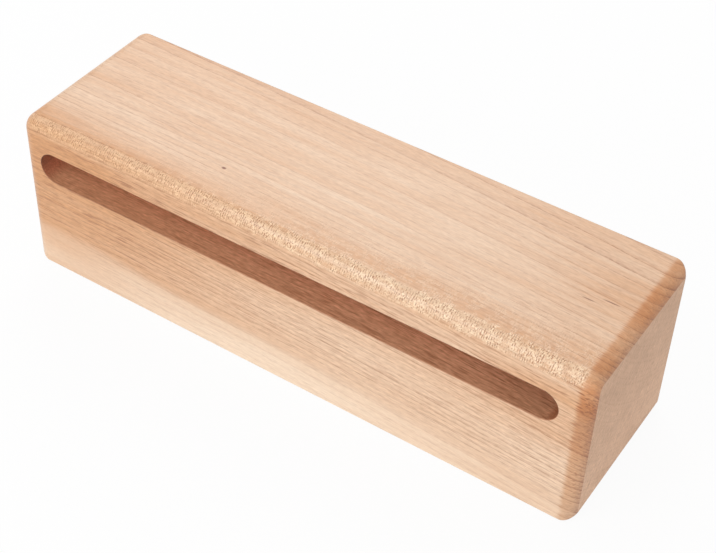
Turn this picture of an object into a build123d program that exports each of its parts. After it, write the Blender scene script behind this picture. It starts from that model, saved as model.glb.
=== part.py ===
"""Woodblock: one hardwood billet with rounded edges and a deep resonance slot routed in from the front.

Frame: millimetres, +X along the block, -Y towards the slotted front, +Z up to the playing face.
The origin is the centre of the underside.
"""

import os

from build123d import *

# The billet
block_length = 254.0
block_depth = 74.5
block_height = 73.5

# Edge work: one roundover bit goes along the front playing edge and round both ends.
# At the ends it stops short of a full quarter round, which leaves a crease at each end face.
roundover_radius = 6.35
end_cut_short = 0.5
back_edge_ease = 1.2
bottom_edge_ease = 0.7

# The slot, given by the wood left around it and the width of the bit that cut it
top_plate = 13.0
back_wall = 16.0
left_wall = 8.9
right_wall = 12.3
slot_width = 13.8
slot_mouth_ease = 0.4

# Places worked out from the sizes above
slot_length = block_length - left_wall - right_wall
slot_depth = block_depth - back_wall
slot_centre_x = (left_wall - right_wall) / 2
slot_centre_z = block_height - top_plate - slot_width / 2
front_y = -block_depth / 2
end_x = block_length / 2

with BuildPart() as block:
    # The billet is left over-long by what the end roundovers are cut short
    with BuildSketch(Plane.YZ.offset(-end_x - end_cut_short)):
        with Locations((0, block_height / 2)):
            Rectangle(block_depth, block_height)
    extrude(amount=block_length + 2 * end_cut_short)

    # Roundovers: all round both ends and along the front playing edge
    left_end = block.faces().sort_by(Axis.X)[0]
    right_end = block.faces().sort_by(Axis.X)[-1]
    long_edges = block.edges().filter_by(Axis.X)
    playing_edge = long_edges.group_by(Axis.Z)[-1].sort_by(Axis.Y)[0]
    fillet(left_end.edges() + right_end.edges() + [playing_edge], roundover_radius)

    # The ends are trimmed to length, which leaves the crease round each end face
    split(bisect_by=Plane.YZ.offset(end_x), keep=Keep.BOTTOM)
    split(bisect_by=Plane.YZ.offset(-end_x), keep=Keep.TOP)

    # The other long edges are only sanded
    long_edges = block.edges().filter_by(Axis.X)
    back_edge = long_edges.group_by(Axis.Z)[-1].sort_by(Axis.Y)[-1]
    fillet(back_edge, back_edge_ease)
    bottom_edges = block.edges().filter_by(Axis.X).group_by(Axis.Z)[0]
    fillet(bottom_edges, bottom_edge_ease)

    # The slot has the round ends of the bit that cut it
    with BuildSketch(Plane.XZ.offset(-front_y)):
        with Locations((slot_centre_x, slot_centre_z)):
            SlotOverall(slot_length, slot_width)
    extrude(amount=-slot_depth, mode=Mode.SUBTRACT)

    # Its mouth is sanded so that the edge does not splinter
    front_face = block.faces().filter_by(Axis.Y).sort_by(Axis.Y)[0]
    fillet(front_face.inner_wires()[0].edges(), slot_mouth_ease)

block.part.label = "block"

os.makedirs("parts", exist_ok=True)
export_step(block.part, "parts/block.step")
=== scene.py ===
"""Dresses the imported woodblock: a finely meshed block, its maple, and the stage that it is shown on.

Laid out as a Blender add-on and run as a script. Lengths are in metres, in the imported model's frame:
+X along the block, -Y out of the slotted front, +Z up. The wood itself is worked out in millimetres,
from where the billet lay in its log, and its depths of colour, masks and shares run from 0 to 1.
"""

import math
from functools import cached_property

import bmesh
import bpy
from bpy.props import FloatProperty, FloatVectorProperty, PointerProperty
from bpy.types import Operator, Panel, PropertyGroup
from mathutils import Matrix, Vector


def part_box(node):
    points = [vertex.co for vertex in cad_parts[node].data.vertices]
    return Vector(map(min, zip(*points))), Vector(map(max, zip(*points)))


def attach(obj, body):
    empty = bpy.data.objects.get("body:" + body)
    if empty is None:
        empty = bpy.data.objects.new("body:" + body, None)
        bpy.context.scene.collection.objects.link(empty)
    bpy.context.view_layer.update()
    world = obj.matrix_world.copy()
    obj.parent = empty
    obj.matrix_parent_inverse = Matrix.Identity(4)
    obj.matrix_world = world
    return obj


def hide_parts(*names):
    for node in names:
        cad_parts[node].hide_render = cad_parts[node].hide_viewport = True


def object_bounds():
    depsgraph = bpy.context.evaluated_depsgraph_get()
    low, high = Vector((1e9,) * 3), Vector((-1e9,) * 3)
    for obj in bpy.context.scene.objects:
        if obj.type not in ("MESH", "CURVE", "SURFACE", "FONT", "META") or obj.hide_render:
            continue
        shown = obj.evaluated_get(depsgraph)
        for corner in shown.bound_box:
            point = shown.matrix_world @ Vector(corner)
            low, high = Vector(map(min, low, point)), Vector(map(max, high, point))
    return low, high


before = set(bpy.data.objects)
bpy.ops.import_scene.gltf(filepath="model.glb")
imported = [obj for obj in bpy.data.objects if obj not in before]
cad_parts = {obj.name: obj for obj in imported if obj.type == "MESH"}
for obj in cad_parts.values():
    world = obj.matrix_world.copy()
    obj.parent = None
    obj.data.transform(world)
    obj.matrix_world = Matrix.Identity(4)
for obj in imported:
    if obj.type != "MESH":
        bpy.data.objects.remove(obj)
CAD_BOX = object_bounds()

bl_info = {
    "name": "Woodblock",
    "version": (1, 0, 0),
    "blender": (4, 5, 0),
    "location": "3D View > Sidebar > Woodblock",
    "description": "Builds a slotted maple woodblock and a plain studio stage for it",
    "category": "Object",
}

BODY = "root"
NODE = "block"

# How finely the round stretches are divided
ROUNDOVER_STEPS = 14
EASE_STEPS = 6
SLOT_END_STEPS = 32

# Edges sharper than this stay sharp, and large flat faces set the normals along the others
SHARP_ANGLE = math.radians(20)
FLAT_FACE_WEIGHT = 80

# The places of the three finishes in the block's material list
LONG_GRAIN, END_GRAIN, SLOT_WALL = range(3)

# The block's outside in the wood's millimetres
MM = 1000.0
FRONT_Y = CAD_BOX[0].y * MM
TOP_Z = CAD_BOX[1].z * MM
RIGHT_END_X = CAD_BOX[1].x * MM

# Where the right end's darker stain, partly painted shade, starts and is full, in mm along the block
RIGHT_STAIN_AND_SHADE_START = RIGHT_END_X - 7.4
RIGHT_STAIN_AND_SHADE_FULL = RIGHT_END_X - 4.8

# How far out from the pith the narrow years begin to take over and have taken over, in mm
NARROW_START = 160.0
NARROW_FULL = 172.0

# Distances round the log are measured this far out from the pith, in mm
ROUND_RADIUS = 150.0

# Years of wide rings come round again after this distance out from the pith, in mm
SWING_LENGTH = 100.0

# Depth of the fine relief of the grain
RELIEF_DEPTH = 0.00008

# Small dark marks on the top: X, Y, half length, half width and strength
TOP_MARKS = (
    (-0.0422, -0.0167, 0.0013, 0.0008, 0.95),
    (0.1048, -0.0012, 0.0032, 0.00036, 0.75),
    (0.1126, 0.0018, 0.0042, 0.00038, 0.85),
    (-0.0968, 0.0004, 0.0022, 0.0008, 0.18),
)

# Soft square lamps: name, place, the point looked at, width and power in watts
LAMPS = (
    ("softbox_back", (-0.5, 0.78, 0.83), (0, 0, 0.07), 0.8, 4.5),
    ("softbox_front", (0.3, -1.2, 0.4), (0, 0, 0.03), 1.0, 5.1),
    ("softbox_edge", (-0.38, -0.7, 0.92), (0, -0.03, 0.07), 0.5, 2.8),
)

# Half the floor's width, and how far it lies under the block
FLOOR_HALF_WIDTH = 6.0
FLOOR_GAP = 0.0001

# The camera's sensor, in mm
SENSOR_WIDTH = 36.0

# How the nodes are laid out in a node editor
NODE_ROWS = 6
NODE_WIDTH = 190
NODE_HEIGHT = 210


def srgb(red, green, blue):
    """Turns a colour as read off a screen, 0 to 255, into the linear values that Blender shades with."""
    out = []
    for value in (red, green, blue):
        part = value / 255
        out.append(part / 12.92 if part <= 0.04045 else ((part + 0.055) / 1.055) ** 2.4)
    return tuple(out)


def length(name, description, default):
    """A property that holds a length in metres."""
    return FloatProperty(name=name, description=description, default=default, unit="LENGTH", precision=5)


def colour(name, description, default):
    """A property that holds a linear colour."""
    return FloatVectorProperty(
        name=name, description=description, default=default, subtype="COLOR", size=3, min=0, max=1
    )


def point(name, description, default):
    """A property that holds a place in metres."""
    return FloatVectorProperty(
        name=name, description=description, default=default,
        subtype="TRANSLATION", unit="LENGTH", precision=5,
    )


def number(name, description, default):
    """A property that holds a plain number."""
    return FloatProperty(name=name, description=description, default=default, precision=4)


class WoodblockSizes(PropertyGroup):
    """The edge work and the slot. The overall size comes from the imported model."""

    roundover: length("Roundover", "Radius of the bit that rounded the ends and the playing edge", 0.00635)
    cut_short: length("End cut short", "How far the end roundovers stop short of a quarter round", 0.0005)
    back_ease: length("Back edge ease", "Radius sanded on the back top edge", 0.0012)
    bottom_ease: length("Bottom edge ease", "Radius sanded on the long bottom edges", 0.0007)
    top_plate: length("Top plate", "Wood left above the slot", 0.013)
    back_wall: length("Back wall", "Wood left behind the slot", 0.016)
    left_wall: length("Left wall", "Wood left at the slot's left end", 0.0089)
    right_wall: length("Right wall", "Wood left at the slot's right end", 0.0123)
    slot_width: length("Slot width", "Width of the bit that cut the slot", 0.0138)
    mouth_ease: length("Slot mouth ease", "Radius sanded on the slot's mouth", 0.0004)


class WoodblockMaple(PropertyGroup):
    """Where the block sat in its log, and the colours of its wood."""

    pith_y: number("Pith Y", "Where the log's centre lay behind the middle of the block, in mm", 94.0)
    pith_z: number("Pith Z", "Where the log's centre lay above the underside, in mm", 172.0)
    lean_y: number("Lean Y", "Sideways lean of the grain, in mm per mm of length", 0.0)
    bow_y: number("Bow Y", "Sideways bow of the grain, in mm per mm squared", -0.000175)
    lean_z: number("Lean Z", "Upward lean of the grain, in mm per mm of length", -0.045)
    wander: number("Wander", "How far the ring lines stray from their course, in mm", 1.4)

    # The front is also painted paler low down, for light from the floor
    pale: colour("Pale wood", "The palest wood, low on the front", srgb(244, 219, 193))
    deep: colour("Deep wood", "The deepest wood, at the left of the front", srgb(212, 156, 108))
    line: colour("Ring line", "The darker line at the end of each year's growth", srgb(154, 94, 58))
    # The light flecks are partly the rays' pale wood and partly a painted glint of their sheen
    ray_light_and_glint: colour("Light fleck", "The light flecks of the rays", srgb(255, 227, 191))
    ray_left_and_glint: colour("Left fleck", "The light flecks at the left, in deeper wood", srgb(255, 212, 162))
    ray_dark: colour("Dark fleck", "The short dark dashes between the light flecks", srgb(150, 84, 44))
    # On the right end this stain is partly painted shade
    end_stain_and_shade: colour("Rounded end", "Stain on the end roundovers' cut fibres", srgb(236, 192, 143))
    crease: colour("Crease", "Wood along the crease where a roundover meets the end", srgb(150, 92, 66))
    end_face: colour("End face", "Sanded end grain", srgb(220, 178, 145))
    slot_wall: colour("Slot wall", "Wood inside the slot, browned by the bit", srgb(219, 162, 125))
    slot_end: colour("Slot end", "End grain inside the slot", srgb(192, 120, 90))
    slot_right: colour("Slot right end", "The slot's right end, which is browner", srgb(176, 118, 74))
    # Painted shade in the upper parts of the slot's ends
    slot_end_shade: colour("Slot burn", "Where the bit has scorched the slot's ends", srgb(96, 54, 38))
    mark: colour("Mark", "The few small dark marks on the top", srgb(116, 50, 16))


class WoodblockStage(PropertyGroup):
    """The camera, the even light and the floor."""

    camera_place: point("Camera place", "Where the camera stands", (0.25038, -0.38649, 0.45475))
    camera_target: point("Camera target", "The point that it looks at", (0.00873, 0.00054, 0.03151))
    camera_roll: FloatProperty(
        name="Camera roll", description="How far the camera is tipped about its own line of sight",
        default=math.radians(2.15), subtype="ANGLE",
    )
    lens: number("Lens", "Focal length over a sensor 36 mm wide, in mm", 79.97)
    sky: number("Sky level", "Strength of the even light from all round", 0.58)
    floor: colour("Floor", "Colour of the floor", (0.94, 0.94, 0.94))
    floor_glow: number("Floor glow", "Share of the floor's white that is its own glow", 0.93)


class Wires:
    """Adds nodes to one node tree and joins them, so that a material reads as a list of steps."""

    def __init__(self, tree):
        self.tree = tree
        self.count = 0

    def node(self, kind, inputs=None, **settings):
        """A new node with its settings made and its inputs fed."""
        node = self.tree.nodes.new(kind)
        column, row = divmod(self.count, NODE_ROWS)
        node.location = (column * NODE_WIDTH, -row * NODE_HEIGHT)
        self.count += 1
        for name, value in settings.items():
            setattr(node, name, value)
        for key, value in (inputs or {}).items():
            self.feed(node.inputs[key], value)
        return node

    def feed(self, socket, value):
        """Joins a socket to another one, or sets it to a plain value."""
        if isinstance(value, bpy.types.NodeSocket):
            self.tree.links.new(value, socket)
        elif socket.type == "RGBA" and len(value) == 3:
            socket.default_value = (*value, 1)
        else:
            socket.default_value = value

    def math(self, operation, *values):
        """One step of arithmetic."""
        return self.node("ShaderNodeMath", dict(enumerate(values)), operation=operation).outputs[0]

    def vector(self, x, y, z):
        """Three values put together."""
        return self.node("ShaderNodeCombineXYZ", {0: x, 1: y, 2: z}).outputs[0]

    def apart(self, vector):
        """The three values of a vector."""
        return self.node("ShaderNodeSeparateXYZ", {0: vector}).outputs

    def smooth(self, value, low, high):
        """0 below low and 1 above high, with a smooth rise between, or a fall if low is above high."""
        inputs = {0: value, 1: low, 2: high}
        node = self.node("ShaderNodeMapRange", inputs, interpolation_type="SMOOTHSTEP")
        return node.outputs[0]

    def spread(self, value, low, high):
        """Takes 0 to 1 to low to high."""
        return self.math("MULTIPLY_ADD", value, high - low, low)

    def mix(self, factor, first, second, blend="MIX"):
        """One colour laid over another by a factor."""
        inputs = {0: factor, 6: first, 7: second}
        return self.node("ShaderNodeMix", inputs, data_type="RGBA", blend_type=blend).outputs[2]

    def noise(self, vector, detail):
        """A noise from 0 to 1 about one unit wide, as a value and as a colour."""
        inputs = {"Vector": vector, "Scale": 1.0, "Detail": detail}
        return self.node("ShaderNodeTexNoise", inputs).outputs

    def cells(self, vector):
        """Scattered cells about one unit wide."""
        return self.node("ShaderNodeTexVoronoi", {"Vector": vector, "Scale": 1.0}).outputs

    def group(self, tree, inputs):
        """A node that holds a node group, with its named inputs fed."""
        node = self.node("ShaderNodeGroup", node_tree=tree)
        for key, value in inputs.items():
            self.feed(node.inputs[key], value)
        return node.outputs

    def levels(self, value, start, *changes):
        """A start level that changes by an amount over each given stretch of a value."""
        level = start
        for low, high, change in changes:
            level = self.math("MULTIPLY_ADD", self.smooth(value, low, high), change, level)
        return level

    def swing(self, value, amount, level):
        """A level that a noise from 0 to 1 moves up and down."""
        return self.math("MULTIPLY_ADD", self.math("SUBTRACT", value, 0.5), amount, level)


def empty_tree(owner):
    """Empties the node tree of a material or a world, and returns its wires."""
    owner.use_nodes = True
    owner.node_tree.nodes.clear()
    return Wires(owner.node_tree)


def new_group(name, inputs, outputs):
    """An empty node group with float sockets. Returns its tree, its wires, its inputs and its outputs."""
    tree = bpy.data.node_groups.new(name, "ShaderNodeTree")
    for socket_name, default in inputs.items():
        socket = tree.interface.new_socket(name=socket_name, in_out="INPUT", socket_type="NodeSocketFloat")
        socket.default_value = default
    for socket_name in outputs:
        tree.interface.new_socket(name=socket_name, in_out="OUTPUT", socket_type="NodeSocketFloat")
    wires = Wires(tree)
    given = wires.node("NodeGroupInput").outputs
    result = wires.node("NodeGroupOutput").inputs
    return tree, wires, given, result


def log_place_group():
    """Where a point lay in the log: along it, out from its pith and round it, in mm."""
    inputs = {
        "Pith Y": 94, "Pith Z": 172, "Lean Y": 0, "Bow Y": 0, "Lean Z": 0, "Wander": 1,
        "Front Y": FRONT_Y, "Top Z": TOP_Z,
    }
    outputs = ("Along", "Radius", "Round", "Past edge", "Facing rays", "Facing along")
    tree, wires, given, result = new_group("Place in the log", inputs, outputs)
    coords = wires.node("ShaderNodeTexCoord").outputs
    in_mm = wires.node("ShaderNodeVectorMath", {0: coords["Object"], "Scale": MM}, operation="SCALE")
    x, y, z = wires.apart(in_mm.outputs[0])

    # Past the middle of the playing edge lies the front, and short of it the top
    below_top = wires.math("SUBTRACT", given["Top Z"], z)
    past = wires.math("ADD", wires.math("SUBTRACT", given["Front Y"], y), below_top)
    wires.feed(result["Past edge"], wires.math("MULTIPLY", past, math.sqrt(0.5)))

    # The grain leans and bows along the block
    pith_y = wires.math("MULTIPLY_ADD", x, given["Lean Y"], given["Pith Y"])
    pith_y = wires.math("MULTIPLY_ADD", wires.math("MULTIPLY", x, x), given["Bow Y"], pith_y)
    pith_z = wires.math("MULTIPLY_ADD", x, given["Lean Z"], given["Pith Z"])
    offsets = [wires.math("SUBTRACT", y, pith_y), wires.math("SUBTRACT", z, pith_z)]

    # The lines stray slowly over centimetres and a little over millimetres
    for stretch, across, share in ((85.0, 26.0, 1.0), (17.0, 6.0, 0.2), (3.0, 1.5, 0.1)):
        vector = wires.vector(
            wires.math("DIVIDE", x, stretch),
            wires.math("DIVIDE", y, across),
            wires.math("DIVIDE", z, across),
        )
        stray = wires.apart(wires.noise(vector, 1.0)[1])
        for side in (0, 1):
            step = wires.math("SUBTRACT", stray[side], 0.5)
            step = wires.math("MULTIPLY", step, share)
            offsets[side] = wires.math("MULTIPLY_ADD", step, given["Wander"], offsets[side])

    out_y, out_z = offsets
    squared = wires.math("MULTIPLY_ADD", out_y, out_y, wires.math("MULTIPLY", out_z, out_z))
    radius = wires.math("SQRT", squared)
    turn = wires.math("MULTIPLY", wires.math("ARCTAN2", out_y, out_z), ROUND_RADIUS)

    # A cut that faces round the log lies along the rays, and one that faces along it is end grain
    normal = wires.apart(coords["Normal"])
    facing = wires.math("MULTIPLY", normal[1], out_z)
    facing = wires.math("SUBTRACT", facing, wires.math("MULTIPLY", normal[2], out_y))
    facing = wires.math("ABSOLUTE", wires.math("DIVIDE", facing, radius))
    wires.feed(result["Along"], x)
    wires.feed(result["Radius"], radius)
    wires.feed(result["Round"], turn)
    wires.feed(result["Facing rays"], facing)
    wires.feed(result["Facing along"], normal[0])
    return tree


def depth_group():
    """How deep the wood's colour is, from 0 for the palest to 1 for the deepest, with painted light from
    the floor paling the front near the underside.
    """
    inputs = {"Along": 0, "Radius": 160, "Past edge": 0, "Tone": 0.5}
    tree, wires, given, result = new_group("Depth of colour", inputs, ("Depth",))
    along, radius, past = given["Along"], given["Radius"], given["Past edge"]

    # From the pith out: the top, the playing edge and the front. The last stretch of the middle and of the
    # left is painted light from the floor, paler near the underside.
    middle = wires.levels(
        radius, 0.57, (116, 130, -0.07), (150, 158, 0.3), (159, 165, -0.1), (164, 172, -0.15),
        (178, 192, -0.18), (204, 215, -0.13),
    )
    left = wires.levels(
        radius, 0.1, (155, 161, 0.12), (163, 171, 0.06), (174, 184, 0.27), (205, 216, -0.12)
    )
    right = wires.levels(
        radius, 0.0, (117, 121, 0.3), (128, 135, -0.16), (146, 156, -0.07), (160, 167, 0.08),
        (178, 186, -0.2),
    )

    # Over the playing edge the depth rises and falls, in another way on each stretch of the block
    right_half = wires.smooth(along, -20, 50)
    left_half = wires.math("SUBTRACT", 1.0, right_half)
    right_quarter = wires.smooth(along, 20, 80)
    far_left = wires.smooth(along, -65, -92)
    stretches = (
        (left_half, (
            (-24, -17, -0.08), (-14, -8, 0.08), (-5, -2, -0.15), (2.5, 6, 0.2), (10, 19, -0.05),
        )),
        (right_half, (
            (-13, -8, 0.19), (-5.5, -2.5, -0.4), (-1, 1.5, 0.2), (6, 8, 0.15), (10, 19, -0.14),
        )),
        (right_quarter, ((-1, 1.5, -0.14), (2.5, 5, -0.06), (6, 9, -0.05), (10, 19, 0.25))),
        (far_left, ((-25, -12, -0.05), (-6, 0, 0.05), (2.5, 5, 0.11), (9.2, 19, -0.11))),
    )
    for share, changes in stretches:
        middle = wires.math("MULTIPLY_ADD", wires.levels(past, 0.0, *changes), share, middle)
    left = wires.levels(past, left, (-3, 1, 0.08), (8, 19, -0.08))
    right = wires.levels(past, right, (4, 5.5, 0.12), (8, 11, -0.14))

    # The last years are pale, and a few of the years before them are pale already
    outward = wires.levels(along, wires.swing(given["Tone"], 5.0, radius), (-50, -100, 2.0))
    last_years = wires.smooth(outward, 201.5, 207)
    paling = wires.levels(along, -0.3, (-10, 70, 0.15))
    middle = wires.math("MULTIPLY_ADD", last_years, paling, middle)
    paling = wires.levels(along, -0.3, (-40, -110, 0.35))
    left = wires.math("MULTIPLY_ADD", last_years, paling, left)
    right = wires.math("MULTIPLY_ADD", last_years, 0.15, right)

    # The two ends differ from the middle
    depth = wires.math("MULTIPLY_ADD", left, wires.smooth(along, 40, -118), middle)
    depth = wires.math("MULTIPLY_ADD", right, wires.smooth(along, 70, 120), depth)
    wires.feed(result["Depth"], depth)
    return tree


def drawn_out(wires, place, along, across):
    """The place in the log, counted in a length along it and a width across it, in mm."""
    return wires.vector(
        wires.math("DIVIDE", place["Along"], along),
        wires.math("DIVIDE", place["Radius"], across),
        wires.math("DIVIDE", place["Round"], across * 2),
    )


def rings_group():
    """The line that ends each year's growth, the slow darkening towards it, and each year's own tone."""
    inputs = {
        "Along": 0, "Radius": 0, "Round": 0, "Rings per mm": 0.4, "Swing": 0.1, "Swing centre": 158,
        "Narrow from": 162, "Narrow to": 198, "Narrow rings more": 0.3,
    }
    tree, wires, given, result = new_group("Growth rings", inputs, ("Line", "Late wood", "Tone"))
    radius = given["Radius"]

    # Years of narrow rings lie between years of wide ones
    span = SWING_LENGTH / (2 * math.pi)
    phase = wires.math("DIVIDE", wires.math("SUBTRACT", radius, given["Swing centre"]), span)
    reach = wires.math("MULTIPLY", given["Swing"], span)
    swing = wires.math("MULTIPLY", wires.math("SINE", phase), reach)
    years = wires.math("MULTIPLY_ADD", radius, given["Rings per mm"], swing)

    # The years that the front shows are the narrowest
    within = wires.math("MINIMUM", radius, given["Narrow to"])
    within = wires.math("MAXIMUM", within, given["Narrow from"])
    years = wires.math("MULTIPLY_ADD", within, given["Narrow rings more"], years)

    # No two years are alike in width
    inputs = {"W": years, "Scale": 0.7, "Detail": 0.0}
    uneven = wires.node("ShaderNodeTexNoise", inputs, noise_dimensions="1D").outputs[0]
    years = wires.math("MULTIPLY_ADD", uneven, 0.9, years)
    part = wires.math("FRACT", years)
    year = wires.math("FLOOR", years)
    own = wires.node("ShaderNodeTexWhiteNoise", {"W": year}, noise_dimensions="1D").outputs[0]
    line = wires.math("MULTIPLY", wires.smooth(part, 0.84, 0.96), wires.smooth(part, 1.0, 0.97))
    late = wires.math("MULTIPLY", wires.smooth(part, 0.45, 0.95), wires.smooth(part, 1.0, 0.95))

    # Each year's line has its own strength, and the narrow years' lines are more alike
    alike = wires.smooth(radius, NARROW_START, NARROW_FULL)
    least = wires.spread(alike, 0.25, 0.5)
    more = wires.spread(alike, 0.75, 0.4)
    strength = wires.math("MULTIPLY_ADD", wires.math("MULTIPLY", own, own), more, least)

    # The line breaks up into long and short dashes, and the late wood into short ones
    long_dashes = wires.noise(drawn_out(wires, given, 10.0, 1.6), 1.0)[0]
    long_dashes = wires.smooth(long_dashes, 0.3, 0.62)
    short_dashes = wires.noise(drawn_out(wires, given, 1.7, 0.5), 1.0)[0]
    short_dashes = wires.smooth(short_dashes, 0.3, 0.62)
    strength = wires.math("MULTIPLY", strength, wires.spread(long_dashes, 0.3, 1.0))
    strength = wires.math("MULTIPLY", strength, wires.spread(short_dashes, 0.4, 1.0))
    late = wires.math("MULTIPLY", late, wires.spread(short_dashes, 0.5, 1.2))
    wires.feed(result["Line"], wires.math("MULTIPLY", line, strength))
    wires.feed(result["Late wood"], wires.math("MULTIPLY", late, wires.spread(own, 0.4, 1.0)))
    wires.feed(result["Tone"], own)
    return tree


def rays_group():
    """Flecks where a cut lies along the rays: a light speckle with short dark dashes in it."""
    inputs = {
        "Along": 0, "Radius": 0, "Round": 0, "Facing rays": 0,
        "Height": 0.9, "Length": 1.15, "Thickness": 0.6,
    }
    tree, wires, given, result = new_group("Ray flecks", inputs, ("Light", "Dark"))

    def scaled(share):
        """The place in the log, counted in a share of a ray's size each way."""
        return wires.vector(*(
            wires.math("DIVIDE", given[place], wires.math("MULTIPLY", given[size], share))
            for place, size in (("Along", "Height"), ("Radius", "Length"), ("Round", "Thickness"))
        ))

    # Bites are taken out of the band's sides, and the rays within it come in patches
    bites = wires.smooth(wires.noise(scaled(2.6), 1.0)[0], 0.48, 0.68)
    shown = wires.smooth(wires.math("MULTIPLY_ADD", bites, -0.13, given["Facing rays"]), 0.71, 0.9)
    patchy = wires.smooth(wires.noise(scaled(4.5), 2.0)[0], 0.32, 0.6)
    shown = wires.math("MULTIPLY", shown, wires.spread(patchy, 0.45, 1.0))

    # The outer wood's rays are too fine to show, and those of the back are faint
    shown = wires.math("MULTIPLY", shown, wires.smooth(given["Radius"], 170, 165.5))
    away_from_back = wires.smooth(given["Round"], -390, -350)
    shown = wires.math("MULTIPLY", shown, wires.spread(away_from_back, 0.25, 1.0))

    # Each cell holds at most one dash, thin along the log and long out from the pith
    place = scaled(1.0)
    cell = wires.cells(place)
    offset = wires.node("ShaderNodeVectorMath", {0: place, 1: cell["Position"]}, operation="SUBTRACT")
    offset = wires.apart(offset.outputs[0])
    aside = wires.math("ABSOLUTE", offset[0])
    out = wires.math("ABSOLUTE", offset[1])
    dash = wires.math("MULTIPLY", wires.smooth(aside, 0.3, 0.1), wires.smooth(out, 0.6, 0.3))
    dash = wires.math("MULTIPLY", dash, wires.smooth(wires.apart(cell["Color"])[0], 0.25, 0.6))
    speckle = wires.smooth(wires.noise(scaled(0.55), 1.0)[0], 0.32, 0.66)
    wires.feed(result["Light"], wires.math("MULTIPLY", wires.spread(speckle, 0.05, 1.0), shown))
    wires.feed(result["Dark"], wires.math("MULTIPLY", dash, shown))
    return tree


def fibres_group():
    """Slow clouds, long streaks, thin lines, fine fibres and short pores, all drawn out along the log."""
    inputs = {"Along": 0, "Radius": 0, "Round": 0}
    outputs = ("Cloud", "Streak", "Thin line", "Fibre", "Pore")
    tree, wires, given, result = new_group("Fibres and pores", inputs, outputs)
    wires.feed(result["Cloud"], wires.noise(drawn_out(wires, given, 60.0, 8.0), 2.0)[0])
    wires.feed(result["Streak"], wires.noise(drawn_out(wires, given, 70.0, 1.5), 1.0)[0])
    thin = wires.noise(drawn_out(wires, given, 10.0, 0.55), 1.0)[0]
    wires.feed(result["Thin line"], wires.smooth(thin, 0.52, 0.72))
    wires.feed(result["Fibre"], wires.noise(drawn_out(wires, given, 3.0, 0.5), 1.0)[0])
    pore = wires.cells(drawn_out(wires, given, 2.6, 0.4))
    rare = wires.smooth(wires.apart(pore["Color"])[1], 0.8, 0.92)
    wires.feed(result["Pore"], wires.math("MULTIPLY", wires.smooth(pore["Distance"], 0.34, 0.12), rare))
    return tree


def make_groups():
    """The node groups that all the finishes of the block share."""
    return {
        "place": log_place_group(), "depth": depth_group(), "rings": rings_group(),
        "rays": rays_group(), "fibres": fibres_group(),
    }


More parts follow.
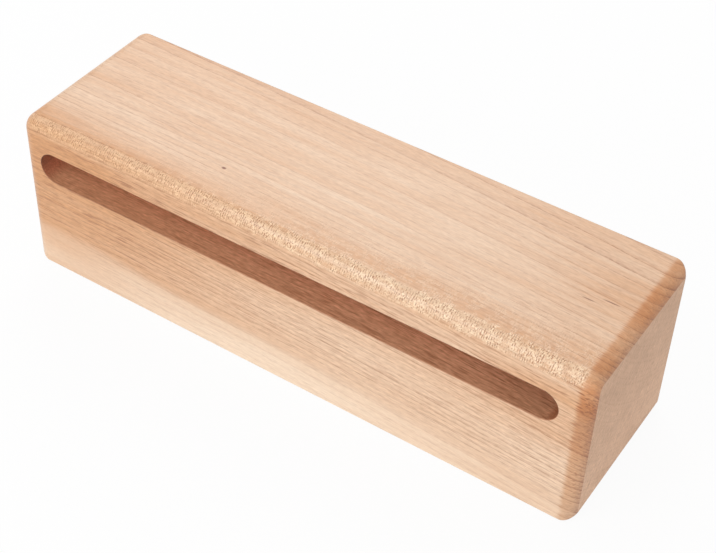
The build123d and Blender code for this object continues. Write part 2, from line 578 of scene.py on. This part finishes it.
class Finish:
    """A material for one finish of the maple. A shared effect is placed in it on its first use."""

    def __init__(self, name, groups, maple):
        self.material = bpy.data.materials.new(name)
        self.wires = empty_tree(self.material)
        self.groups = groups
        self.maple = maple
        self.place = self.wires.group(groups["place"], {
            "Pith Y": maple.pith_y, "Pith Z": maple.pith_z, "Lean Y": maple.lean_y, "Bow Y": maple.bow_y,
            "Lean Z": maple.lean_z, "Wander": maple.wander,
        })

    def effect(self, name, places, **others):
        """Places a shared effect, fed with some of the places in the log and other values."""
        fed = {key: self.place[key] for key in places}
        return self.wires.group(self.groups[name], {**fed, **others})

    @cached_property
    def rings(self):
        return self.effect("rings", ("Along", "Radius", "Round"))

    @cached_property
    def fibres(self):
        return self.effect("fibres", ("Along", "Radius", "Round"))

    @cached_property
    def rays(self):
        return self.effect("rays", ("Along", "Radius", "Round", "Facing rays"))

    @cached_property
    def depth(self):
        return self.effect("depth", ("Along", "Radius", "Past edge"), Tone=self.rings["Tone"])["Depth"]

    def wood(self):
        """The colour of the bare wood: its depth in the log, with each year's own tone and soft streaks,
        and painted light from the floor low on the front.
        """
        wires, radius = self.wires, self.place["Radius"]
        cloudy = wires.levels(radius, 0.45, (NARROW_START, NARROW_FULL, -0.22), (198, 206, 0.3))
        streaky = wires.levels(radius, 0.36, (160, 175, -0.22))
        uneven = wires.levels(radius, 0.15, (NARROW_START, NARROW_FULL, -0.09))
        depth = wires.swing(self.fibres["Cloud"], cloudy, self.depth)
        depth = wires.swing(self.fibres["Streak"], streaky, depth)
        depth = wires.swing(self.rings["Tone"], uneven, depth)
        return wires.mix(depth, self.maple.pale, self.maple.deep)

    def tint(self, tone, red):
        """Darkens or lightens a tone, a little more in its blue than in its red."""
        wires = self.wires
        shade = wires.vector(red, wires.math("POWER", red, 1.2), wires.math("POWER", red, 1.4))
        return wires.mix(1.0, tone, shade, "MULTIPLY")

    def grain(self, tone, value, amount):
        """Darkens and lightens a tone by a noise from 0 to 1."""
        return self.tint(tone, self.wires.swing(value, amount, 1.0))

    def darken(self, tone, mask, amount):
        """Darkens a tone by an amount where a mask is."""
        return self.tint(tone, self.wires.math("MULTIPLY_ADD", mask, -amount, 1.0))

    def blend(self, tone, mask, share, shade):
        """Lays a shade over a tone where a mask is, at most by a share."""
        return self.wires.mix(self.wires.math("MULTIPLY", mask, share), tone, shade)

    def lines(self, tone, line, late, thin):
        """Lays the ring lines, the late wood before them and the thin lines between them over a tone."""
        shade = self.maple.line
        tone = self.blend(tone, self.rings["Late wood"], late, shade)
        tone = self.blend(tone, self.fibres["Thin line"], thin, shade)
        return self.blend(tone, self.rings["Line"], line, shade)

    def close(self, tone, roughness, relief, lustre=0.0):
        """Ends the material with its shader, with a fine grain in its sheen and its surface."""
        wires = self.wires
        pits = wires.math("MULTIPLY", self.fibres["Pore"], -0.8)
        height = wires.math("MULTIPLY_ADD", self.fibres["Fibre"], 0.6, pits)
        height = wires.math("MULTIPLY_ADD", self.rings["Line"], 0.25, height)
        inputs = {"Strength": relief, "Distance": RELIEF_DEPTH, "Height": height}
        normal = wires.node("ShaderNodeBump", inputs).outputs[0]
        shader = wires.node("ShaderNodeBsdfPrincipled", {
            "Base Color": tone, "Roughness": wires.swing(self.fibres["Fibre"], 0.16, roughness),
            "Normal": normal, "IOR": 1.5, "Specular IOR Level": 0.5,
            "Coat Weight": lustre, "Coat Roughness": 0.38, "Coat IOR": 1.5,
        })
        output = wires.node("ShaderNodeOutputMaterial")
        wires.feed(output.inputs["Surface"], shader.outputs[0])
        return self.material


def stain_and_shade_ends(finish, tone):
    """Stains the end roundovers, where the fibres are cut, the right one's stain partly painted shade.
    Returns the tone and the mask of the stain.
    """
    wires, maple = finish.wires, finish.maple
    radius, slope = finish.place["Radius"], finish.place["Facing along"]

    # The right roundover is stained from its ragged start, the left one only close to the crease. The right
    # one's fuller stain is partly painted shade, as the right end gets less light.
    ragged = wires.swing(finish.fibres["Streak"], 1.0, finish.place["Along"])
    ragged = wires.swing(finish.fibres["Thin line"], 1.2, ragged)
    right = wires.smooth(ragged, RIGHT_STAIN_AND_SHADE_START, RIGHT_STAIN_AND_SHADE_FULL)
    turned = wires.math("MULTIPLY_ADD", wires.smooth(slope, -0.4, -0.95), 0.45, right)
    stain = wires.levels(
        radius, 0.56, (113, 118, 0.13), (128, 136, -0.17), (156, 164, 0.28), (166, 172, -0.28),
        (196, 206, -0.2),
    )
    tone = wires.mix(wires.math("MULTIPLY", turned, stain), tone, maple.end_stain_and_shade, "MULTIPLY")
    below_edge = wires.levels(radius, 0.0, (160, 168, 0.17), (172, 184, -0.05))
    tone = finish.darken(tone, wires.math("MULTIPLY", turned, below_edge), 1.0)

    # The years end in dark teeth along the crease
    steep = wires.math("ABSOLUTE", slope)
    teeth = wires.spread(finish.rings["Late wood"], 0.3, 1.0)
    teeth = wires.math("MULTIPLY", wires.smooth(steep, 0.6, 0.98), teeth)
    tone = finish.blend(tone, teeth, 0.75, maple.crease)
    tone = finish.blend(tone, wires.smooth(steep, 0.88, 0.97), 0.3, maple.crease)
    return tone, turned


def draw_lines(finish, tone, turned):
    """Draws the lines of the years and the pores on the long faces."""
    wires, place = finish.wires, finish.place
    along, radius, past = place["Along"], place["Radius"], place["Past edge"]

    # The lines are faint in the outer wood, and plainer towards the ends and on the roundovers
    front = wires.levels(along, -0.35, (-112, -80, 0.45), (0, 80, -0.45))
    outer = wires.levels(along, -0.95, (0, 80, 0.35))
    outward = wires.levels(radius, 1.3, (152, 168, front), (198, 205, outer))
    plain = wires.levels(along, 0.7, (-90, -20, -0.2), (30, 110, 0.3))
    plain = wires.math("MULTIPLY_ADD", plain, outward, wires.math("MULTIPLY", turned, 0.3))
    late = wires.math("MULTIPLY", plain, wires.levels(radius, 0.18, (NARROW_START, NARROW_FULL, 0.27)))

    # Thin lines lie close together on the front, and most of all on the lip over the slot
    close_set = wires.levels(along, 0.5, (-110, -40, -0.2), (20, 90, -0.05))
    narrow = wires.smooth(radius, NARROW_START, NARROW_FULL)
    close_set = wires.math("MULTIPLY_ADD", narrow, close_set, 0.2)
    lip = wires.math("MULTIPLY", wires.smooth(past, 2, 5), wires.smooth(past, 14, 10))
    lip = wires.math("MULTIPLY", lip, wires.levels(along, 0.0, (-110, -30, 0.35), (40, 100, 0.2)))
    thin = wires.math("MULTIPLY", plain, wires.math("ADD", close_set, lip))
    tone = finish.lines(tone, plain, late, thin)
    return finish.blend(tone, finish.fibres["Pore"], 0.12, finish.maple.line)


def darken_slot_edge(finish, tone, top_plate):
    """Darkens a thin strip along the slot's upper edge, short of its two ends."""
    wires, past = finish.wires, finish.place["Past edge"]
    edge = top_plate * MM * math.sqrt(0.5)
    strip = wires.smooth(past, edge - 0.34, edge - 0.09)
    strip = wires.math("MULTIPLY", strip, wires.smooth(past, edge + 0.41, edge + 0.21))
    off_centre = wires.math("ABSOLUTE", finish.place["Along"])
    strip = wires.math("MULTIPLY", strip, wires.smooth(off_centre, 112, 107))
    return finish.darken(tone, strip, 0.45)


def scatter_flecks(finish, tone, turned):
    """Lays the ray flecks over a tone, the light ones partly a painted glint. Returns the tone and the mask
    of the light flecks, which shine.
    """
    wires, maple, along = finish.wires, finish.maple, finish.place["Along"]
    unstained = wires.math("MULTIPLY_ADD", turned, -0.9, 1.0)

    # The light flecks grow plainer and less yellow towards the right, and thin lines run through them.
    # Their cream is partly the rays' own pale wood and partly a painted glint.
    light = wires.math("MULTIPLY", unstained, wires.levels(along, 0.6, (-110, 20, 0.4)))
    light = wires.math("MULTIPLY", light, finish.rays["Light"])
    fleck = wires.mix(wires.smooth(along, -110, 60), maple.ray_left_and_glint, maple.ray_light_and_glint)
    tone = finish.blend(tone, light, 0.9, fleck)
    dark = wires.math("MULTIPLY", unstained, wires.levels(along, 0.7, (-110, -20, 0.1)))
    tone = finish.blend(tone, finish.rays["Dark"], dark, maple.ray_dark)
    crossing = wires.math("MULTIPLY", finish.fibres["Thin line"], light)
    return finish.blend(tone, crossing, 0.3, maple.line), light


def top_marks(finish):
    """A mask of the few small dark marks on the top: a speck and some short streaks along the grain."""
    wires = finish.wires
    coords = wires.node("ShaderNodeTexCoord").outputs
    place = wires.apart(coords["Object"])
    top = wires.smooth(wires.apart(coords["Normal"])[2], 0.98, 0.999)
    marks = 0.0
    for x, y, half_length, half_width, strength in TOP_MARKS:
        along = wires.math("DIVIDE", wires.math("SUBTRACT", place[0], x), half_length)
        across = wires.math("DIVIDE", wires.math("SUBTRACT", place[1], y), half_width)
        reach = wires.math("MULTIPLY_ADD", along, along, wires.math("MULTIPLY", across, across))
        marks = wires.math("MULTIPLY_ADD", wires.smooth(reach, 1.0, 0.0), strength, marks)
    return wires.math("MULTIPLY", marks, top)


def long_grain(groups, maple, sizes):
    """The long faces, the playing edge and the end roundovers."""
    finish = Finish("maple_long_grain", groups, maple)
    wires = finish.wires
    tone, turned = stain_and_shade_ends(finish, finish.wood())
    tone = draw_lines(finish, tone, turned)
    tone = darken_slot_edge(finish, tone, sizes.top_plate)
    tone, light = scatter_flecks(finish, tone, turned)
    tone = finish.blend(tone, top_marks(finish), 1.0, maple.mark)

    # The fibres show most on the front and least in the outer wood
    amount = wires.levels(finish.place["Radius"], 0.35, (158, 168, 0.12), (196, 206, -0.22))
    tone = finish.grain(tone, finish.fibres["Fibre"], amount)
    return finish.close(tone, roughness=0.38, relief=0.2, lustre=wires.math("MULTIPLY", light, 0.8))


def end_grain(groups, maple):
    """The two sanded end faces, mottled by the cut ends of the fibres."""
    finish = Finish("maple_end_grain", groups, maple)
    wires, place = finish.wires, finish.place
    tone = maple.end_face

    # Each mottle is a length out from the pith, a width round it, both in mm, and a strength
    for out, aside, amount in ((2.0, 0.5, 0.75), (9.0, 0.5, 0.65)):
        cut = wires.vector(
            wires.math("DIVIDE", place["Radius"], out), wires.math("DIVIDE", place["Round"], aside), 0.0
        )
        tone = finish.grain(tone, wires.noise(cut, 2.0)[0], amount)
    tone = finish.grain(tone, finish.fibres["Cloud"], 0.25)

    # Painted light: the ends are painted paler towards the underside, where light from the floor falls on
    # them
    height = wires.apart(wires.node("ShaderNodeTexCoord").outputs["Object"])[2]
    tone = finish.grain(tone, wires.smooth(height, 0.06, 0.0), 0.17)
    tone = finish.lines(tone, line=0.16, late=0.09, thin=0.03)
    return finish.close(tone, roughness=0.6, relief=0.03)


def slot_wood(groups, maple):
    """The walls of the slot, browned by the bit, with redder end grain at its two ends, and painted shade
    and light over them.
    """
    finish = Finish("maple_slot_wall", groups, maple)
    wires, place = finish.wires, finish.place
    along, slope = place["Along"], place["Facing along"]
    tone = wires.mix(0.85, finish.wood(), maple.slot_wall)
    ends = wires.smooth(wires.math("ABSOLUTE", slope), 0.2, 0.9)
    tone = finish.blend(tone, ends, 0.9, maple.slot_end)
    tone = finish.blend(tone, wires.smooth(slope, -0.2, -0.9), 0.7, maple.slot_right)

    # In mm from the front: painted shade darkens the mouth's edge, most of all above, and painted light
    # makes the walls paler inwards
    coords = wires.node("ShaderNodeTexCoord").outputs
    inward = wires.math("MULTIPLY_ADD", wires.apart(coords["Object"])[1], MM, -FRONT_Y)
    upward = wires.apart(coords["Normal"])[2]
    tone = finish.grain(tone, wires.smooth(inward, 0.25, 12.25), 0.24)
    mouth = wires.levels(along, 0.4, (-90, -20, -0.25))
    mouth = wires.math("MAXIMUM", mouth, wires.smooth(upward, 0.2, -0.2))
    mouth = wires.math("MULTIPLY", mouth, wires.smooth(inward, 0.75, 0.15))
    tone = finish.darken(tone, mouth, 0.75)

    # Painted shade darkens the upper parts of the slot's ends and makes the slot darkest towards the right
    end_shade = wires.math("MULTIPLY", ends, wires.smooth(upward, 0.5, 0.0))
    tone = finish.blend(tone, end_shade, 0.42, maple.slot_end_shade)
    tone = finish.darken(tone, wires.smooth(along, 70, 112), 0.13)

    # A fine speckle, and lines that grow plainer towards the right
    speck = wires.vector(*(
        wires.math("DIVIDE", place[way], size)
        for way, size in (("Along", 3.0), ("Radius", 0.7), ("Round", 0.5))
    ))
    tone = finish.grain(tone, wires.noise(speck, 1.0)[0], 0.65)
    plain = wires.levels(along, 0.4, (-90, 60, 0.5))
    late = wires.math("MULTIPLY", plain, 0.3)
    thin = wires.math("MULTIPLY", plain, 0.7)
    tone = finish.lines(tone, plain, late, thin)
    tone = finish.grain(tone, finish.fibres["Fibre"], 0.5)
    return finish.close(tone, roughness=0.55, relief=0.35)


def make_maple(maple, sizes):
    """The three finishes of the block, in the order of its material list."""
    groups = make_groups()
    return [long_grain(groups, maple, sizes), end_grain(groups, maple), slot_wood(groups, maple)]


def arc(centre, radius, start, end, steps):
    """Points on an arc in a plane, with angles in degrees."""
    out = []
    for step in range(steps + 1):
        angle = math.radians(start + (end - start) * step / steps)
        out.append((centre[0] + radius * math.cos(angle), centre[1] + radius * math.sin(angle)))
    return out


def cross_section(low, high, sizes, inset):
    """The block's outline in Y and Z, drawn in by inset, from the bottom front up, over and down."""
    front, back = low.y + inset, high.y - inset
    bottom, top = low.z + inset, high.z - inset
    playing = sizes.roundover - inset
    ease = sizes.bottom_ease
    rear = sizes.back_ease
    points = arc((front + ease, bottom + ease), ease, 270, 180, EASE_STEPS)
    points += arc((front + playing, top - playing), playing, 180, 90, ROUNDOVER_STEPS)
    points += arc((back - rear, top - rear), rear, 90, 0, EASE_STEPS)
    points += arc((back - ease, bottom + ease), ease, 0, -90, EASE_STEPS)
    return points


def end_stations(high, sizes):
    """Pairs of X and inset over the right end's roundover, from its crease to the long faces."""
    radius = sizes.roundover
    centre = high.x + sizes.cut_short - radius
    widest = math.asin((high.x - centre) / radius)
    out = []
    for step in range(ROUNDOVER_STEPS + 1):
        angle = widest * (1 - step / ROUNDOVER_STEPS)
        out.append((centre + radius * math.sin(angle), radius - radius * math.cos(angle)))
    return out


def slot_outline(low, high, sizes, grow):
    """The slot's outline in X and Z, widened by grow, clockwise from the top right."""
    half = sizes.slot_width / 2
    middle = high.z - sizes.top_plate - half
    left = low.x + sizes.left_wall + half
    right = high.x - sizes.right_wall - half
    points = arc((right, middle), half + grow, 90, -90, SLOT_END_STEPS)
    points += arc((left, middle), half + grow, 270, 90, SLOT_END_STEPS)
    return points


def join_rings(mesh, first, second, finish, skip=()):
    """Faces between two rings of equally many points."""
    count = len(first)
    for here in range(count):
        if here in skip:
            continue
        after = (here + 1) % count
        face = mesh.faces.new((first[here], first[after], second[after], second[here]))
        face.material_index = finish


def add_body(mesh, low, high, sizes):
    """The outside of the block, but for its front face. Returns the front face's four corners."""
    right = end_stations(high, sizes)
    left = [(low.x + high.x - x, inset) for x, inset in reversed(right)]
    rings = []
    for x, inset in right + left:
        rings.append([mesh.verts.new((x, y, z)) for y, z in cross_section(low, high, sizes, inset)])
    front = EASE_STEPS
    last = len(right) - 1
    for place in range(len(rings) - 1):
        skip = (front,) if place == last else ()
        join_rings(mesh, rings[place], rings[place + 1], LONG_GRAIN, skip)
    for ring in (rings[0], rings[-1]):
        mesh.faces.new(ring).material_index = END_GRAIN
    near, far = rings[last], rings[last + 1]
    return far[front + 1], near[front + 1], near[front], far[front]


def add_slot(mesh, low, high, sizes, corners):
    """The front face with the slot's mouth in it, and the slot's walls."""
    ease = sizes.mouth_ease
    rings = []
    for step in range(EASE_STEPS + 1):
        angle = math.radians(90 * step / EASE_STEPS)
        outline = slot_outline(low, high, sizes, ease - ease * math.sin(angle))
        depth = low.y + ease - ease * math.cos(angle)
        rings.append([mesh.verts.new((x, depth, z)) for x, z in outline])
    outline = slot_outline(low, high, sizes, 0)
    rings.append([mesh.verts.new((x, high.y - sizes.back_wall, z)) for x, z in outline])

    # The first step of the mouth's ease takes the front's finish
    for place in range(len(rings) - 1):
        finish = LONG_GRAIN if place == 0 else SLOT_WALL
        join_rings(mesh, rings[place], rings[place + 1], finish)
    mesh.faces.new(rings[-1]).material_index = SLOT_WALL

    # The front is two faces that meet at the slot's ends
    mouth = rings[0]
    top_left, top_right, low_right, low_left = corners
    right_end = SLOT_END_STEPS // 2
    left_end = SLOT_END_STEPS + 1 + SLOT_END_STEPS // 2
    above = mouth[left_end:] + mouth[:right_end + 1]
    below = mouth[right_end:left_end + 1]
    mesh.faces.new([top_left, *above, top_right]).material_index = LONG_GRAIN
    mesh.faces.new([top_right, *below, top_left, low_left, low_right]).material_index = LONG_GRAIN


def block_mesh(sizes):
    """The whole block as one closed mesh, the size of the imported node."""
    low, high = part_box(NODE)
    mesh = bmesh.new()
    corners = add_body(mesh, low, high, sizes)
    add_slot(mesh, low, high, sizes, corners)
    bmesh.ops.recalc_face_normals(mesh, faces=mesh.faces)
    for face in mesh.faces:
        face.smooth = True
    for edge in mesh.edges:
        if not edge.is_manifold:
            raise RuntimeError("the block's mesh isn't closed")
        edge.smooth = edge.calc_face_angle() < SHARP_ANGLE
    data = bpy.data.meshes.new("maple_block")
    mesh.to_mesh(data)
    mesh.free()
    return data


class WOODBLOCK_OT_build_block(Operator):
    """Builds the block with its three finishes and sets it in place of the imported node"""

    bl_idname = "woodblock.build_block"
    bl_label = "Build block"

    def execute(self, context):
        scene = context.scene
        sizes = scene.woodblock_sizes
        data = block_mesh(sizes)
        for material in make_maple(scene.woodblock_maple, sizes):
            data.materials.append(material)
        piece = bpy.data.objects.new("maple_block", data)
        scene.collection.objects.link(piece)
        modifier = piece.modifiers.new("Flat faces stay flat", "WEIGHTED_NORMAL")
        modifier.keep_sharp = True
        modifier.weight = FLAT_FACE_WEIGHT
        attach(piece, BODY)
        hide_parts(NODE)
        return {"FINISHED"}


def add_lamp(scene, name, place, target, width, power):
    """A soft square lamp that looks at a point."""
    lamp = bpy.data.lights.new(name, "AREA")
    lamp.shape = "SQUARE"
    lamp.size = width
    lamp.energy = power
    lamp_object = bpy.data.objects.new(name, lamp)
    lamp_object.location = place
    lamp_object.rotation_euler = (Vector(target) - Vector(place)).to_track_quat("-Z", "Y").to_euler()
    scene.collection.objects.link(lamp_object)


def seen_directly(wires):
    """1 for a ray from the camera or one that a mirror or glass passes on, and 0 for other light."""
    path = wires.node("ShaderNodeLightPath").outputs
    seen = wires.math("MAXIMUM", path["Is Camera Ray"], path["Is Glossy Ray"])
    return wires.math("MAXIMUM", seen, path["Is Transmission Ray"])


def floor_material(stage):
    """A pale floor that the camera sees as nearly white, with a faint shadow of the block on it."""
    material = bpy.data.materials.new("studio_floor")
    wires = empty_tree(material)
    matt = wires.node("ShaderNodeBsdfDiffuse", {"Color": tuple(stage.floor)}).outputs[0]
    glow = wires.node("ShaderNodeEmission", {"Strength": 1.0}).outputs[0]
    share = wires.math("MULTIPLY", seen_directly(wires), stage.floor_glow)
    both = wires.node("ShaderNodeMixShader", {0: share, 1: matt, 2: glow}).outputs[0]
    wires.feed(wires.node("ShaderNodeOutputMaterial").inputs["Surface"], both)
    return material


def add_floor(scene, stage):
    """A wide flat floor under the block."""
    half = FLOOR_HALF_WIDTH
    corners = [(-half, -half, 0), (half, -half, 0), (half, half, 0), (-half, half, 0)]
    data = bpy.data.meshes.new("floor")
    data.from_pydata(corners, [], [(0, 1, 2, 3)])
    data.materials.append(floor_material(stage))
    floor = bpy.data.objects.new("floor", data)
    floor.location.z = CAD_BOX[0].z - FLOOR_GAP
    scene.collection.objects.link(floor)


def add_sky(scene, stage):
    """Even light from all round, which the camera sees as white."""
    world = bpy.data.worlds.new("studio_sky")
    wires = empty_tree(world)
    strength = wires.math("MULTIPLY_ADD", seen_directly(wires), 1.0 - stage.sky, stage.sky)
    sky = wires.node("ShaderNodeBackground", {"Color": (1, 1, 1), "Strength": strength}).outputs[0]
    wires.feed(wires.node("ShaderNodeOutputWorld").inputs["Surface"], sky)
    scene.world = world


def add_camera(scene, stage):
    """The camera at the photograph's viewing angle."""
    camera = bpy.data.cameras.new("camera")
    camera.sensor_fit = "HORIZONTAL"
    camera.sensor_width = SENSOR_WIDTH
    camera.lens = stage.lens
    camera.clip_start = 0.01
    camera.clip_end = 50.0
    place = Vector(stage.camera_place)
    sight = (Vector(stage.camera_target) - place).to_track_quat("-Z", "Y").to_matrix().to_4x4()
    roll = Matrix.Rotation(stage.camera_roll, 4, "Z")
    camera_object = bpy.data.objects.new("camera", camera)
    camera_object.matrix_world = Matrix.Translation(place) @ sight @ roll
    scene.collection.objects.link(camera_object)
    scene.camera = camera_object


class WOODBLOCK_OT_set_stage(Operator):
    """Sets up the floor, the soft studio light and the camera"""

    bl_idname = "woodblock.set_stage"
    bl_label = "Set stage"

    def execute(self, context):
        scene = context.scene
        stage = scene.woodblock_stage
        add_floor(scene, stage)
        add_sky(scene, stage)
        for lamp in LAMPS:
            add_lamp(scene, *lamp)
        add_camera(scene, stage)
        scene.view_settings.view_transform = "Standard"
        return {"FINISHED"}


class WOODBLOCK_PT_panel(Panel):
    """Lists the operators and the sizes and colours that they use"""

    bl_idname = "WOODBLOCK_PT_panel"
    bl_label = "Woodblock"
    bl_space_type = "VIEW_3D"
    bl_region_type = "UI"
    bl_category = "Woodblock"

    def draw(self, context):
        layout = self.layout
        scene = context.scene
        layout.operator(WOODBLOCK_OT_build_block.bl_idname)
        layout.operator(WOODBLOCK_OT_set_stage.bl_idname)
        for group in (scene.woodblock_sizes, scene.woodblock_maple, scene.woodblock_stage):
            column = layout.box().column()
            for name in group.__annotations__:
                column.prop(group, name)


CLASSES = (
    WoodblockSizes,
    WoodblockMaple,
    WoodblockStage,
    WOODBLOCK_OT_build_block,
    WOODBLOCK_OT_set_stage,
    WOODBLOCK_PT_panel,
)


def register():
    for each in CLASSES:
        bpy.utils.register_class(each)
    bpy.types.Scene.woodblock_sizes = PointerProperty(type=WoodblockSizes)
    bpy.types.Scene.woodblock_maple = PointerProperty(type=WoodblockMaple)
    bpy.types.Scene.woodblock_stage = PointerProperty(type=WoodblockStage)


def unregister():
    del bpy.types.Scene.woodblock_stage
    del bpy.types.Scene.woodblock_maple
    del bpy.types.Scene.woodblock_sizes
    for each in reversed(CLASSES):
        bpy.utils.unregister_class(each)


def main():
    register()
    bpy.ops.woodblock.build_block()
    bpy.ops.woodblock.set_stage()
    bpy.context.view_layer.update()


if __name__ == "__main__":
    main()
